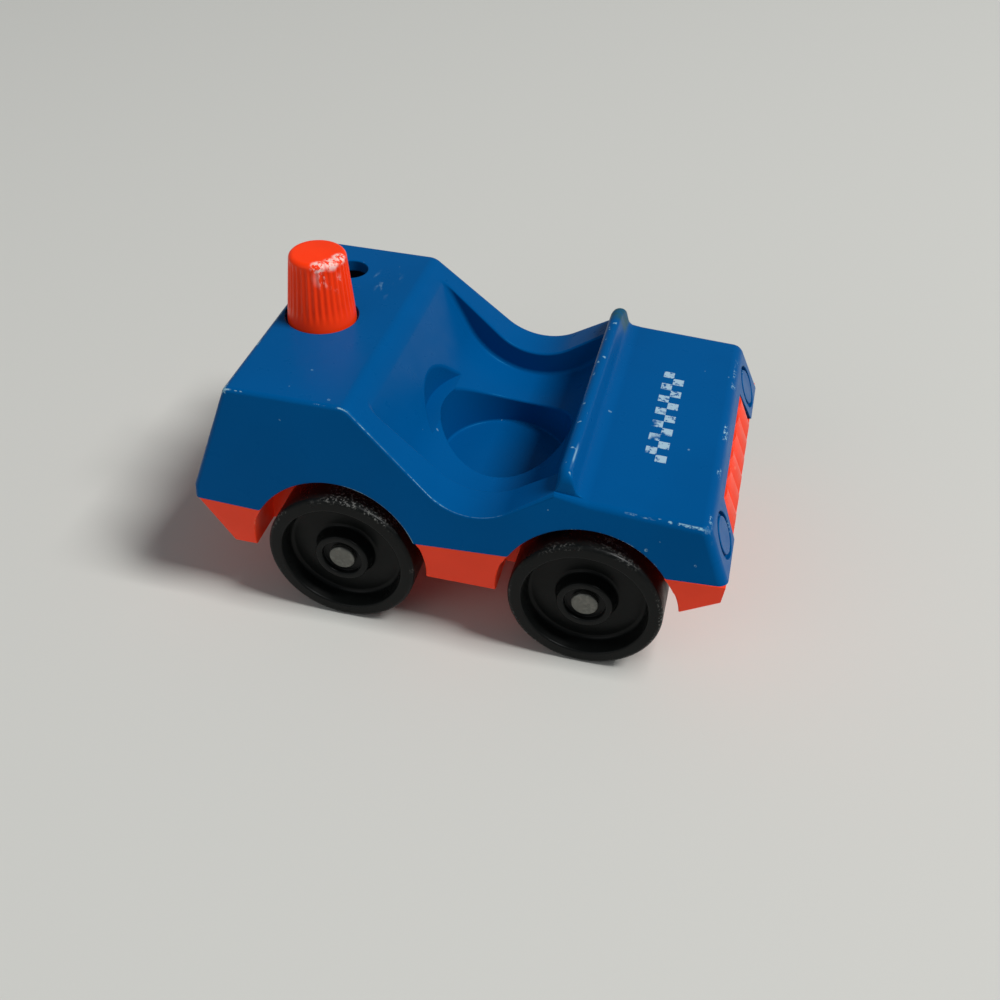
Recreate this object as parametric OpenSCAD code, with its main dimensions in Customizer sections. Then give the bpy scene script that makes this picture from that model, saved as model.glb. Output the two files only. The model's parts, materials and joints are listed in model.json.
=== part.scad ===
// Toy police car with a round seat socket for a peg figure.
// Millimetres. X points forward, Y to the car's left and Z up.
// The origin is on the ground, below the middle of the car.

/* [Body shell] */
// Length of the shell
body_l = 94.5; // [93:0.5:96]
// Width across the shell's lower edge
body_w = 61.8; // [61:0.2:62]
// Lean of the sides from upright, in degrees
side_lean = 10.3; // [9.5:0.1:11]
// Wall thickness of the shell
wall = 2.2; // [2:0.1:2.4]
// Height of the rear deck
deck_z = 44.4; // [43.8:0.1:45]
// Lean of the rear face from upright, in degrees
rear_lean = 18.3; // [17.5:0.1:19]
// Height of the hood at the windshield lip
hood_z = 34.8; // [34.4:0.1:35.2]
// Lean of the front face from upright, in degrees
front_lean = 23.8; // [23:0.1:24.5]
// Height of the top of the windshield lip
lip_z = 39.3; // [38.8:0.1:39.8]
// Place of the lip's rear face along the car
lip_x = 17; // [16.8:0.1:17.4]

/* [Cockpit] */
// Place of the middle of the side scoop along the car
scoop_x = 3.2; // [3:0.1:3.4]
// Height of the lowest point of the side scoop
scoop_z = 28.5; // [28.3:0.1:28.8]
// Radius of the side scoop
scoop_r = 11.3; // [11:0.1:11.6]
// Slope of the rim behind the scoop, in degrees
rim_back_slope = 41.4; // [40.5:0.1:42]
// Slope of the rim ahead of the scoop, in degrees
rim_front_slope = 34.5; // [34:0.1:35]
// Depth of the cockpit floor below the rim
cockpit_depth = 4.9; // [4.6:0.1:5.2]
// Width between the cockpit's inner walls
cockpit_w = 44.8; // [44:0.2:45.4]
// Slope of the seat back, in degrees
seat_slope = 61; // [60:0.5:62]

/* [Seat socket] */
// Radius of the socket
socket_r = 12.25; // [12:0.05:12.5]
// Place of the socket along the car
socket_x = 2.25; // [2:0.05:2.5]
// Height of the socket's floor
socket_floor_z = 18.3; // [18:0.1:18.6]
// Radius of the relief cut in the seat back
relief_r = 15.1; // [14.8:0.1:15.4]
// Height of the ledge at the foot of that relief
relief_z = 29.2; // [28.9:0.1:29.5]

/* [Wheels and axles] */
// Radius of the wheels
wheel_r = 13.7; // [13.5:0.1:13.9]
// Width of a wheel
wheel_w = 9; // [8.6:0.1:9.2]
// Width of the car across the wheels' outer faces
track_w = 62.2; // [62:0.1:62.6]
// Distance between the axles
wheelbase = 44.3; // [44:0.1:44.6]
// Place of the rear axle along the car
rear_axle_x = -20.25; // [-20.5:0.05:-20]
// Radius of the axles
axle_r = 2.4; // [2.3:0.05:2.5]
// Radial play of a turning shaft in its bearing
running_play = 0.06; // [0.04:0.01:0.1]
// Radius of the wheel arches
arch_r = 16.1; // [15.9:0.1:16.3]

/* [Beacon] */
// Place of the beacon along the car
beacon_x = -33; // [-33.2:0.1:-32.6]
// Radius of the beacon at its foot
beacon_r = 6.3; // [6.1:0.05:6.4]
// Radius of the beacon at its top
beacon_top_r = 5.1; // [5:0.05:5.3]
// Height of the beacon above the deck
beacon_h = 12.7; // [12:0.1:13]
// Number of ribs round the beacon
beacon_ribs = 32; // [28:1:34]

/* [Grille] */
// Height of the top of the grille
grille_z = 30.5; // [30:0.1:31]
// Number of vertical ribs on the grille
grille_ribs = 6; // [5:1:7]

/* [Hidden] */
$fn = 96;

blue = [0.0, 0.30, 0.56];
orange = [0.96, 0.27, 0.15];
black = [0.09, 0.09, 0.09];
steel = [0.55, 0.55, 0.52];

eps = 0.01;
far = 200;
above = 80;

// Ends of the car and the seam between shell and base, which dips behind the middle
rear_x = -body_l / 2;
front_x = body_l / 2;
seam_rear_z = 22.4;
seam_low = [-7, 21.1];
seam_front_z = 24;
rear_step_z = 24.7;
seam_gap = 0.3;

// Corners of the shell's side outline
deck_rear_x = rear_x + (deck_z - rear_step_z) * tan(rear_lean);
scoop_c = [scoop_x, scoop_z + scoop_r];
rim_back = scoop_c + scoop_r * [-sin(rim_back_slope), -cos(rim_back_slope)];
rim_front = scoop_c + scoop_r * [sin(rim_front_slope), -cos(rim_front_slope)];
deck_front_x = rim_back.x - (deck_z - rim_back.y) / tan(rim_back_slope);
rim_lip_z = rim_front.y + (lip_x - rim_front.x) * tan(rim_front_slope);
lip_l = 4.2;
hood_drop = 0.8;
hood_front_z = hood_z - hood_drop;
hood_front_x = front_at(hood_front_z);
deck_edge_r = 1.4;
deck_front_r = 3;
hood_edge_r = 2.4;

// Cockpit floor and the walls below it
cup_wall = 1.8;
cockpit_r = scoop_r + cockpit_depth;

// Arches: the rear one sits a little behind its axle
front_axle_x = rear_axle_x + wheelbase;
rear_arch_back = 0.7;
rear_arch_x = rear_axle_x - rear_arch_back;
well_y = 21.5;
well_wall = 1.2;

// Base tray
floor_z = 12;
floor_t = 2;
skirt_t = 2;
skirt_draft = 7;
base_rear_inset = 5.9;
base_rear_x = rear_x + base_rear_inset;
base_ramp_x = 35.3;
base_nose_inset = 0.65;
base_nose = [front_x - base_nose_inset, 19.9];
tongue_t = 1.2;
tongue_h = 2;
fit_gap = 0.15;
shell_gap = 0.3;

// Axle bearings: a beam above the floor and snap-in lugs below it
beam_half_l = 4.5;
beam_top_z = 18.5;
lug_half_l = 3.6;
lug_bottom_z = 10.9;
lug_inner_y = 12;
throat_w = 4.2;
channel_half_l = 3.2;
channel_top_z = 17;

// Screws and the posts they hold
screw_points = [[-29.5, 11.2], [-29.5, -11.2], [31.5, 9], [31.5, -9]];
screw_r = 1.25;
screw_head_r = 2.7;
screw_head_h = 1.8;
screw_seat_z = 14.4;
screw_tip_z = 25;
screw_tip_room = 1;
screw_play = 0.3;
post_r = 3;
boss_r = 4.4;
boss_top_z = 17.2;

// Beacon seat: a shallow recess in the deck and a stem through a boss below it
beacon_recess = 1;
beacon_gap = 0.35;
beacon_lift = 0.2;
beacon_boss_r = 6;
beacon_boss_z = deck_z - 4.2;
stem_r = 3.2;
stem_tip_z = deck_z - 6.8;
nut_r = 5.2;
nut_t = 1.2;
nut_gap = 0.3;
deck_hole = [-33.7, 17.4];
deck_hole_r = 3.4;

// Grille and headlamp rings on the front face
grille_half_w = [17.8, 15.7];
grille_sink = 0.6;
grille_t = 3;
grille_foot = 3;
grille_reach = 18;
grille_gap = 0.25;
grille_fluted_w = 33;
rib_pitch = grille_fluted_w / grille_ribs;
rib_h = 0.8;
lamp_y = 22.6;
lamp_z = 28;
lamp_r = 4.2;
lamp_groove_w = 0.8;
lamp_groove_d = 0.7;

// Half width of the shell at height z
function half_w(z) = body_w / 2 - (z - seam_rear_z) * tan(side_lean);

// Place of the front face along the car at height z
function front_at(z) = front_x - (z - seam_front_z) * tan(front_lean);

// Unit vector along v
function unit(v) = v / norm(v);

// Points of a round corner of radius r at b, on the way from a to c
function corner(a, b, c, r, steps = 6) =
    let (u = unit(a - b), v = unit(c - b), half = acos(u * v) / 2,
         m = b + unit(u + v) * r / sin(half),
         p = b + u * r / tan(half) - m, q = b + v * r / tan(half) - m,
         from = atan2(p.y, p.x),
         turn = (atan2(q.y, q.x) - from + 540) % 360 - 180)
    [for (i = [0:steps]) m + r * [cos(from + turn * i / steps), sin(from + turn * i / steps)]];

// Points of an arc of radius r below the scoop's centre, between two angles from straight down
function scoop_arc(r, from, to, steps = 14) =
    [for (i = [0:steps]) let (t = from + (to - from) * i / steps) scoop_c + r * [sin(t), -cos(t)]];

// A closed outline moved inwards by d
function inset_path(p, d) =
    let (n = len(p))
    [for (i = [0:n - 1])
        let (u = unit(p[i] - p[(i + n - 1) % n]), v = unit(p[(i + 1) % n] - p[i]),
             nu = [-u.y, u.x], nv = [-v.y, v.x])
        p[i] + d * (nu + nv) / (1 + nu * nv)];

// The top of the shell's side outline, from the front face back to the rear face
function top_line(soft) =
    let (nose = [front_x, seam_front_z], hood_front = [hood_front_x, hood_front_z],
         hood_rear = [lip_x + lip_l, hood_z], deck_front = [deck_front_x, deck_z],
         deck_rear = [deck_rear_x, deck_z], step = [rear_x, rear_step_z])
    concat([nose],
           soft ? corner(nose, hood_front, hood_rear, hood_edge_r) : [hood_front],
           [hood_rear, [lip_x, rim_lip_z]],
           scoop_arc(scoop_r, rim_front_slope, -rim_back_slope),
           soft ? corner(rim_back, deck_front, deck_rear, deck_front_r) : [deck_front],
           soft ? corner(deck_front, deck_rear, step, deck_edge_r) : [deck_rear],
           [step]);

// Side outlines: the shell down to the seam, and the same body carried straight down
shell_side = concat([[rear_x, seam_rear_z], seam_low], top_line(true));
open_side = concat([[rear_x, 0], [front_x, 0]], top_line(false));

// Extrudes an outline in X and Z across the car
module across(points, width) {
    rotate([90, 0, 0])
        linear_extrude(width, center = true)
            polygon(points);
}

// Extrudes an outline in Y and Z along the car
module along(points, length) {
    rotate([90, 0, 90])
        linear_extrude(length, center = true)
            polygon(points);
}

// The space between the leaning sides, each moved in by inset
module between_sides(inset) {
    low = half_w(0) - inset / cos(side_lean);
    high = half_w(above) - inset / cos(side_lean);
    along([[-low, 0], [low, 0], [high, above], [-high, above]], far);
}

// The inside of the shell, moved in by inset and open below
module inner_form(inset) {
    intersection() {
        across(inset_path(open_side, inset), far);
        between_sides(inset);
    }
}

// The cockpit trough with its sloping seat back, grown by extra on every side
module cockpit(extra) {
    r = cockpit_r + extra;
    dash_x = lip_x + extra;
    dash_angle = asin((dash_x - scoop_c.x) / r);
    seat = scoop_c + r * [-sin(seat_slope), -cos(seat_slope)];
    seat_top_x = seat.x - (above - seat.y) / tan(seat_slope);
    across(concat([[seat_top_x, above]], scoop_arc(r, -seat_slope, dash_angle), [[dash_x, above]]),
           cockpit_w + 2 * extra);
}

// The windshield lip, round along its ridge and at its two ends
module windshield_lip() {
    ridge_r = 1.6;
    end_r = 3.5;
    root = 2;
    rear_draft = 0.1;
    top_l = 3.3;
    foot_z = hood_z - root;
    rear_foot = [lip_x, foot_z];
    front_foot = [lip_x + lip_l, foot_z];
    rear_top = [lip_x + rear_draft, lip_z];
    front_top = rear_top + [top_l, 0];
    low = half_w(foot_z);
    high = half_w(lip_z);
    left_low = [low, foot_z];
    right_low = [-low, foot_z];
    left_top = [high, lip_z];
    right_top = [-high, lip_z];
    intersection() {
        across(concat([rear_foot, front_foot, [lip_x + lip_l, hood_z]],
                      corner([lip_x + lip_l, hood_z], front_top, rear_top, ridge_r),
                      corner(front_top, rear_top, rear_foot, ridge_r)), far);
        along(concat([right_low, left_low],
                     corner(left_low, left_top, right_top, end_r),
                     corner(left_top, right_top, right_low, end_r)), far);
    }
}

// A cylinder across the car at an arch or axle, from |y| = from to |y| = to on both sides
module side_discs(x, r, from, to) {
    for (side = [-1, 1])
        translate([x, side * (from + to) / 2, wheel_r])
            rotate([90, 0, 0])
                cylinder(r = r, h = to - from, center = true);
}

// The grille's outline in the front view, grown by gap, carried along the car
module grille_window(gap, top) {
    low = grille_half_w[0] + gap;
    high = grille_half_w[1] + gap;
    below_foot = 1;
    lower_z = seam_front_z - grille_foot - below_foot;
    lower = low + (seam_front_z - lower_z) * (low - high) / (grille_z - seam_front_z);
    translate([front_x, 0, 0])
        along([[-lower, lower_z], [lower, lower_z], [high, top], [-high, top]], grille_reach);
}

// A post for each screw, between two heights
module at_screws(r, from, to) {
    for (p = screw_points)
        translate([p.x, p.y, from])
            cylinder(r = r, h = to - from);
}

// A round space over the seat socket, from height z upwards
module over_socket(r, z) {
    translate([socket_x, 0, z])
        cylinder(r = r, h = above);
}

// The rear half of the relief behind the socket, grown by extra
module seat_relief(extra) {
    intersection() {
        over_socket(relief_r + extra, relief_z - extra);
        translate([socket_x - far / 2, 0, 0])
            cube(far, center = true);
    }
}

// The hollow of the shell, less the cockpit tub, the socket's cup and the posts that stand in it
module shell_inside() {
    difference() {
        inner_form(wall);
        cockpit(wall);
        over_socket(socket_r + cup_wall, socket_floor_z - cup_wall);
        seat_relief(cup_wall);
        at_screws(post_r, boss_top_z, above);
        translate([beacon_x, 0, beacon_boss_z])
            cylinder(r = beacon_boss_r, h = above);
    }
}

module headlamp_rings() {
    for (side = [-1, 1])
        translate([front_at(lamp_z), side * lamp_y, lamp_z])
            rotate([0, 90 - front_lean, 0])
                difference() {
                    cylinder(r = lamp_r, h = 2 * lamp_groove_d, center = true);
                    cylinder(r = lamp_r - lamp_groove_w, h = far, center = true);
                }
}

module body_shell() {
    color(blue)
        difference() {
            union() {
                intersection() {
                    across(shell_side, far);
                    between_sides(0);
                }
                windshield_lip();
                translate([socket_x, 0, socket_floor_z - cup_wall])
                    cylinder(r = socket_r + cup_wall, h = seam_front_z - socket_floor_z);
                at_screws(post_r, boss_top_z, seam_front_z);
            }
            shell_inside();
            cockpit(0);
            over_socket(socket_r, socket_floor_z);
            seat_relief(0);
            side_discs(rear_arch_x, arch_r, well_y, track_w);
            side_discs(front_axle_x, arch_r, well_y, track_w);
            grille_window(grille_gap, grille_z + grille_gap);
            headlamp_rings();
            at_screws(screw_r, boss_top_z - eps, screw_tip_z + screw_tip_room);
            translate([beacon_x, 0, beacon_boss_z - eps])
                cylinder(r = stem_r + running_play, h = above);
            translate([beacon_x, 0, deck_z - beacon_recess])
                cylinder(r = beacon_r + beacon_gap, h = above);
            translate([deck_hole.x, deck_hole.y, deck_z - 2 * wall])
                cylinder(r = deck_hole_r, h = above);
        }
}

// The tray's outer form below the seam, or its inside when inset is more than nothing
module tray_form(inset) {
    side = [[base_rear_x, floor_z], [base_ramp_x, floor_z], base_nose];
    top = inset > 0
        ? [[base_nose.x, above], [rear_x + seam_gap, above], [rear_x + seam_gap, seam_rear_z]]
        : [[front_x - seam_gap, seam_front_z], seam_low, [rear_x + seam_gap, seam_rear_z]];
    seam_half = body_w / 2 - seam_gap;
    low = seam_half - seam_rear_z * tan(skirt_draft) - inset;
    high = seam_half + (above - seam_rear_z) * tan(skirt_draft) - inset;
    intersection() {
        across(inset_path(concat(side, top), inset), far);
        along([[-low, 0], [low, 0], [high, above], [-high, above]], far);
    }
}

// The band of space from below the seam to above it
module seam_band(below, over) {
    seam = [[rear_x, seam_rear_z], seam_low, [front_x, seam_front_z]];
    across(concat([for (p = seam) p - [0, below]], [for (i = [2, 1, 0]) seam[i] + [0, over]]), far);
}

// The rim that stands up inside the shell along the seam
module seam_tongue() {
    intersection() {
        difference() {
            inner_form(wall + fit_gap);
            inner_form(wall + fit_gap + tongue_t);
        }
        seam_band(tongue_h, tongue_h);
    }
}

// The linings of the wheel wells, kept clear of the shell and its cockpit
module well_linings() {
    difference() {
        intersection() {
            union() {
                side_discs(rear_arch_x, arch_r + well_wall, well_y - well_wall, track_w / 2);
                side_discs(front_axle_x, arch_r + well_wall, well_y - well_wall, track_w / 2);
            }
            union() {
                intersection() {
                    inner_form(wall + shell_gap);
                    seam_band(0, above);
                }
                tray_form(0);
            }
        }
        cockpit(wall + shell_gap);
    }
}

// The beam and lugs that carry one axle
module axle_carrier(x) {
    translate([x - beam_half_l, -well_y, floor_z])
        cube([2 * beam_half_l, 2 * well_y, beam_top_z - floor_z]);
    for (side = [-1, 1])
        translate([x, side * (well_y + lug_inner_y) / 2, (lug_bottom_z + beam_top_z) / 2])
            cube([2 * lug_half_l, well_y - lug_inner_y, beam_top_z - lug_bottom_z], center = true);
}

// What is cut from a carrier: the bearing, its snap-in throat and the open channel between the lugs
module axle_cuts(x) {
    translate([x, 0, wheel_r])
        rotate([90, 0, 0])
            cylinder(r = axle_r + running_play, h = track_w, center = true);
    translate([x - throat_w / 2, -track_w / 2, 0])
        cube([throat_w, track_w, wheel_r]);
    translate([x - channel_half_l, -lug_inner_y, 0])
        cube([2 * channel_half_l, 2 * lug_inner_y, channel_top_z]);
}

// Points across the front of the grille: one shallow arc for each rib
function flute_points(steps = 8) =
    let (rib_r = (rib_pitch * rib_pitch / 4 + rib_h * rib_h) / (2 * rib_h))
    [for (i = [0:grille_ribs * steps])
        let (dy = ((i % steps) / steps - 0.5) * rib_pitch)
        [sqrt(rib_r * rib_r - dy * dy) - rib_r + rib_h, (i / steps - grille_ribs / 2) * rib_pitch]];

// The fluted panel that fills the notch in the shell's front
module grille() {
    foot_z = seam_front_z - grille_foot;
    mid_z = (seam_front_z + grille_z) / 2;
    half = grille_ribs * rib_pitch / 2;
    intersection() {
        translate([front_at(mid_z) - grille_sink, 0, mid_z])
            rotate([0, -front_lean, 0])
                linear_extrude(far, center = true)
                    polygon(concat(flute_points(), [[-grille_t, half], [-grille_t, -half]]));
        grille_window(0, grille_z);
        translate([front_x - seam_gap - far / 2, 0, foot_z + far / 2])
            cube(far, center = true);
    }
}

module chassis_base() {
    color(orange)
        difference() {
            union() {
                difference() {
                    tray_form(0);
                    translate([0, 0, floor_t - skirt_t])
                        tray_form(skirt_t);
                }
                seam_tongue();
                well_linings();
                axle_carrier(rear_axle_x);
                axle_carrier(front_axle_x);
                at_screws(boss_r, floor_z, boss_top_z);
                grille();
            }
            side_discs(rear_arch_x, arch_r, well_y, track_w);
            side_discs(front_axle_x, arch_r, well_y, track_w);
            axle_cuts(rear_axle_x);
            axle_cuts(front_axle_x);
            at_screws(screw_r + screw_play, 0, above);
            at_screws(screw_head_r + screw_play, 0, screw_seat_z);
        }
}

module base_screws() {
    color(steel) {
        at_screws(screw_head_r, screw_seat_z - screw_head_h, screw_seat_z);
        at_screws(screw_r, screw_seat_z - screw_head_h / 2, screw_tip_z);
    }
}

module beacon() {
    top_z = deck_z + beacon_h;
    foot_z = deck_z - beacon_recess + beacon_lift;
    top_edge_r = 0.8;
    plain_foot = 1.2;
    plain_head = 2.5;
    rib_from_z = deck_z + plain_foot;
    rib_to_z = top_z - plain_head;
    rib_size = 0.4;
    taper = atan((beacon_r - beacon_top_r) / beacon_h);
    shoulder = [beacon_top_r, top_z];
    function cone_r(z) = beacon_r - (z - deck_z) * tan(taper);
    color(orange)
        translate([beacon_x, 0, 0]) {
            rotate_extrude()
                polygon(concat([[0, stem_tip_z], [stem_r, stem_tip_z], [stem_r, foot_z],
                                [beacon_r, foot_z], [beacon_r, deck_z]],
                               corner([beacon_r, deck_z], shoulder, [0, top_z], top_edge_r),
                               [[0, top_z]]));
            for (i = [0:beacon_ribs - 1])
                rotate([0, 0, 360 * i / beacon_ribs])
                    translate([cone_r(rib_from_z) - rib_size / 2, 0, rib_from_z])
                        rotate([0, -taper, 0])
                            cylinder(r = rib_size, h = rib_to_z - rib_from_z);
        }
}

module beacon_push_nut() {
    color(steel)
        translate([beacon_x, 0, beacon_boss_z - nut_gap - nut_t])
            difference() {
                cylinder(r = nut_r, h = nut_t);
                translate([0, 0, -eps])
                    cylinder(r = stem_r, h = nut_t + 2 * eps);
            }
}

// A one-piece wheel: hub, dished web and rim, turned about its bore
module wheel(x, side) {
    hub_r = 4.9;
    hub_sunk = 0.6;
    hub_face = wheel_w - hub_sunk;
    hub_flare = 0.5;
    hub_recess_r = 3.7;
    hub_recess_depth = 1;
    hub_recess = hub_face - hub_recess_depth;
    rim_r = 11.2;
    rim_foot_r = 10.6;
    web_back = 3.2;
    web_front = 5.6;
    edge = 0.9;
    outline = [[axle_r, 0], [hub_r, 0], [hub_r, web_back], [rim_foot_r, web_back], [rim_foot_r, 0],
               [wheel_r - edge, 0], [wheel_r, edge], [wheel_r, wheel_w - edge],
               [wheel_r - edge, wheel_w], [rim_r, wheel_w], [rim_foot_r, web_front],
               [hub_r + hub_flare, web_front], [hub_r, hub_face], [hub_recess_r, hub_face],
               [hub_recess_r, hub_recess], [axle_r, hub_recess]];
    color(black)
        translate([x, side * (track_w / 2 - wheel_w), wheel_r])
            rotate([-90 * side, 0, 0])
                rotate_extrude()
                    polygon(outline);
}

module axle(x) {
    end_depth = 0.7;
    color(steel)
        translate([x, 0, wheel_r])
            rotate([90, 0, 0])
                cylinder(r = axle_r, h = track_w - 2 * end_depth, center = true);
}

body_shell();
chassis_base();
base_screws();
beacon();
beacon_push_nut();
axle(front_axle_x);  // front_axle
axle(rear_axle_x);  // rear_axle
wheel(front_axle_x, 1);  // wheel_front_left
wheel(front_axle_x, -1);  // wheel_front_right
wheel(rear_axle_x, 1);  // wheel_rear_left
wheel(rear_axle_x, -1);  // wheel_rear_right
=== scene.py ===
"""Looks of an open-top toy police car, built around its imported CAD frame."""

import json
import math
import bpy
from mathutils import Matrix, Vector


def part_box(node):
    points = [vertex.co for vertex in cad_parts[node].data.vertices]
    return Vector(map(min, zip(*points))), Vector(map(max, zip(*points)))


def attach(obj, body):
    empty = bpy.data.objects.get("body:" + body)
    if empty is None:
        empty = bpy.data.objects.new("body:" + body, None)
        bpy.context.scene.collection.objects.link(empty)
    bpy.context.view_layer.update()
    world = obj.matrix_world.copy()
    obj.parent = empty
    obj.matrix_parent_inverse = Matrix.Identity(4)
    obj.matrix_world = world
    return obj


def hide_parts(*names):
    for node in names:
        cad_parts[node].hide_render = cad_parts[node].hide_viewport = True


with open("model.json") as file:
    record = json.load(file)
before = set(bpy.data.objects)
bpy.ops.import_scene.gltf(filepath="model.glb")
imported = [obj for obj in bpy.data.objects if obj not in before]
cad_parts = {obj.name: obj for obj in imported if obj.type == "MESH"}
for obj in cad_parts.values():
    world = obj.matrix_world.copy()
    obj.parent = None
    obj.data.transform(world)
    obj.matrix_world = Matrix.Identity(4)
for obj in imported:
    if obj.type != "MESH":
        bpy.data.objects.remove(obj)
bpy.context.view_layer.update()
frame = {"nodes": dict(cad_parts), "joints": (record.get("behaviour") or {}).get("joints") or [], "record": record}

from types import SimpleNamespace

import bmesh
import bpy
from bpy.props import FloatProperty, FloatVectorProperty, IntProperty, PointerProperty
from mathutils import Matrix, Vector

bl_info = {
    "name": "Toy police car",
    "version": (1, 0, 0),
    "blender": (4, 5, 0),
    "location": "View3D > Sidebar > Toy car",
    "description": "Builds the finished looks of a worn toy police car",
    "category": "Add Mesh",
}

MM = 0.001
SHELL_LOW, SHELL_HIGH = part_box("body_shell")
BEACON_LOW, BEACON_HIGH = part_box("beacon")
MOUNTS = {mount["name"]: mount for mount in frame["record"]["mounts"]}
JOINTS = {joint["name"]: joint for joint in frame["joints"]}
SOCKET = MOUNTS["seat_socket"]
DECK_HOLE = MOUNTS["deck_hole"]
WHEELS = ("wheel_front_left", "wheel_front_right", "wheel_rear_left", "wheel_rear_right")

# Marks left on faces while the shell is cut, so that each cut's edges can be rounded alike
MARK_SKIN = 0
MARK_COCKPIT = 1
MARK_SOCKET = 2
MARK_ARCH = 3
MARK_FRONT = 4
MARK_DECK = 5
MARK_INSIDE = 6
MARK_EDGE = 7
MARKS = 8

# Rounding of the edges that each cut leaves, in millimetres
CUT_ROUNDING = {
    MARK_COCKPIT: 0.45,
    MARK_SOCKET: 0.45,
    MARK_ARCH: 0.35,
    MARK_FRONT: 0.2,
    MARK_DECK: 0.25,
}

# Rounding of the edge between a side and the skin beside it, by place along the car, in millimetres
SIDE_ROUNDING = ((-48, 1.2), (-40, 0.95), (-21, 0.9), (-12, 0.5),
                 (13, 0.5), (25, 1.4), (42, 1.6), (48, 1.9))

# Steps across a rounded side edge, along a rounded corner of the side outline, along the scoop's rim and
# along the cockpit's floor
EDGE_STEPS = 6
CORNER_STEPS = 8
RIM_STEPS = 24
FLOOR_STEPS = 28

# Points of a rounded corner that wear
WORN_POINTS = range(2, CORNER_STEPS - 1)

# The windshield lip: lean of its front face, draft of its rear face and depth to which its ridge wears, both
# in millimetres, and steps along its two roundings
LIP_FACE = math.radians(22)
LIP_DRAFT = 0.02
LIP_WORN = 0.35
LIP_STEPS = 10

# The lip's ends: columns of points across each, how late it falls, how far it is pinched towards the ridge,
# and how far it sweeps forward in millimetres
LIP_COLUMNS = 10
LIP_FALL = 4.2
LIP_PINCH = 0.5
LIP_SWEEP = 1.0

# Places clear of the car, above it and beside it, where cutting shapes end, in millimetres
ABOVE = 70
BESIDE = 45

# How far the skin is carried below the seam before it is cut there, in millimetres
BELOW_SEAM = 6

# Thickness of the socket's cup, in millimetres
CUP_WALL = 1.8

# The gap round the grille, and half the grille's width at the seam and at its top, in millimetres
GRILLE_GAP = 0.25
GRILLE_LOW = 17.8
GRILLE_HIGH = 15.7

# Places of the screws under the car, in millimetres
SCREWS = ((-29.5, 11.2), (-29.5, -11.2), (31.5, 9), (31.5, -9))

# Distances below which points are merged, in millimetres, and the angle past which an edge is shaded sharp
MERGE = 1e-4
SLIVER = 0.01
SHARP_ANGLE = math.radians(38)

# Places of chips at the shell's corners and of nicks on its faces, each with its reach, in millimetres
CHIPS = (((-19.6, -26.6, 43.8), 1.6), ((-40.4, -26.2, 44.0), 1.8),
         ((40.8, -28.0, 33.4), 1.8), ((-40.4, -12.0, 44.3), 1.2))
NICKS = (((33.2, -30.0, 28.3), 0.5), ((41.5, -30.0, 27.0), 0.35), ((-22.4, -25.2, 44.4), 0.4))

# Lamps: name, place and size in metres, and power in watts; and the place that they face
LAMPS = (("key", (1.33, -0.08, 2.0), 0.7, 56.5), ("fill", (-0.7, -1.1, 0.7), 1.0, 2.7))
LAMP_TARGET = (0, 0, 0.02)

# Light from all round, and half the floor's width in metres
WORLD_TINT = (0.85, 0.93, 1.0)
WORLD_STRENGTH = 0.16
FLOOR_REACH = 3

# The camera's place in millimetres, its angles in degrees, and its lens and sensor width in millimetres
CAMERA_PLACE = (40.5, -172.9, 157.0)
CAMERA_AZIMUTH = 12.66
CAMERA_ELEVATION = 40.13
CAMERA_ROLL = 1.95
CAMERA_LENS = 41.9
CAMERA_SENSOR = 36


def length(name, description, default):
    """A size in millimetres, kept in metres."""
    return FloatProperty(name=name, description=description, default=default * MM,
                         unit="LENGTH", precision=5)


def angle(name, description, default):
    """An angle in degrees, kept in radians."""
    return FloatProperty(name=name, description=description, default=math.radians(default),
                         unit="ROTATION")


def colour(name, description, default):
    """A colour given as linear red, green and blue."""
    return FloatVectorProperty(name=name, description=description, default=default, size=3,
                               subtype="COLOR", min=0.0, max=1.0)


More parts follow.
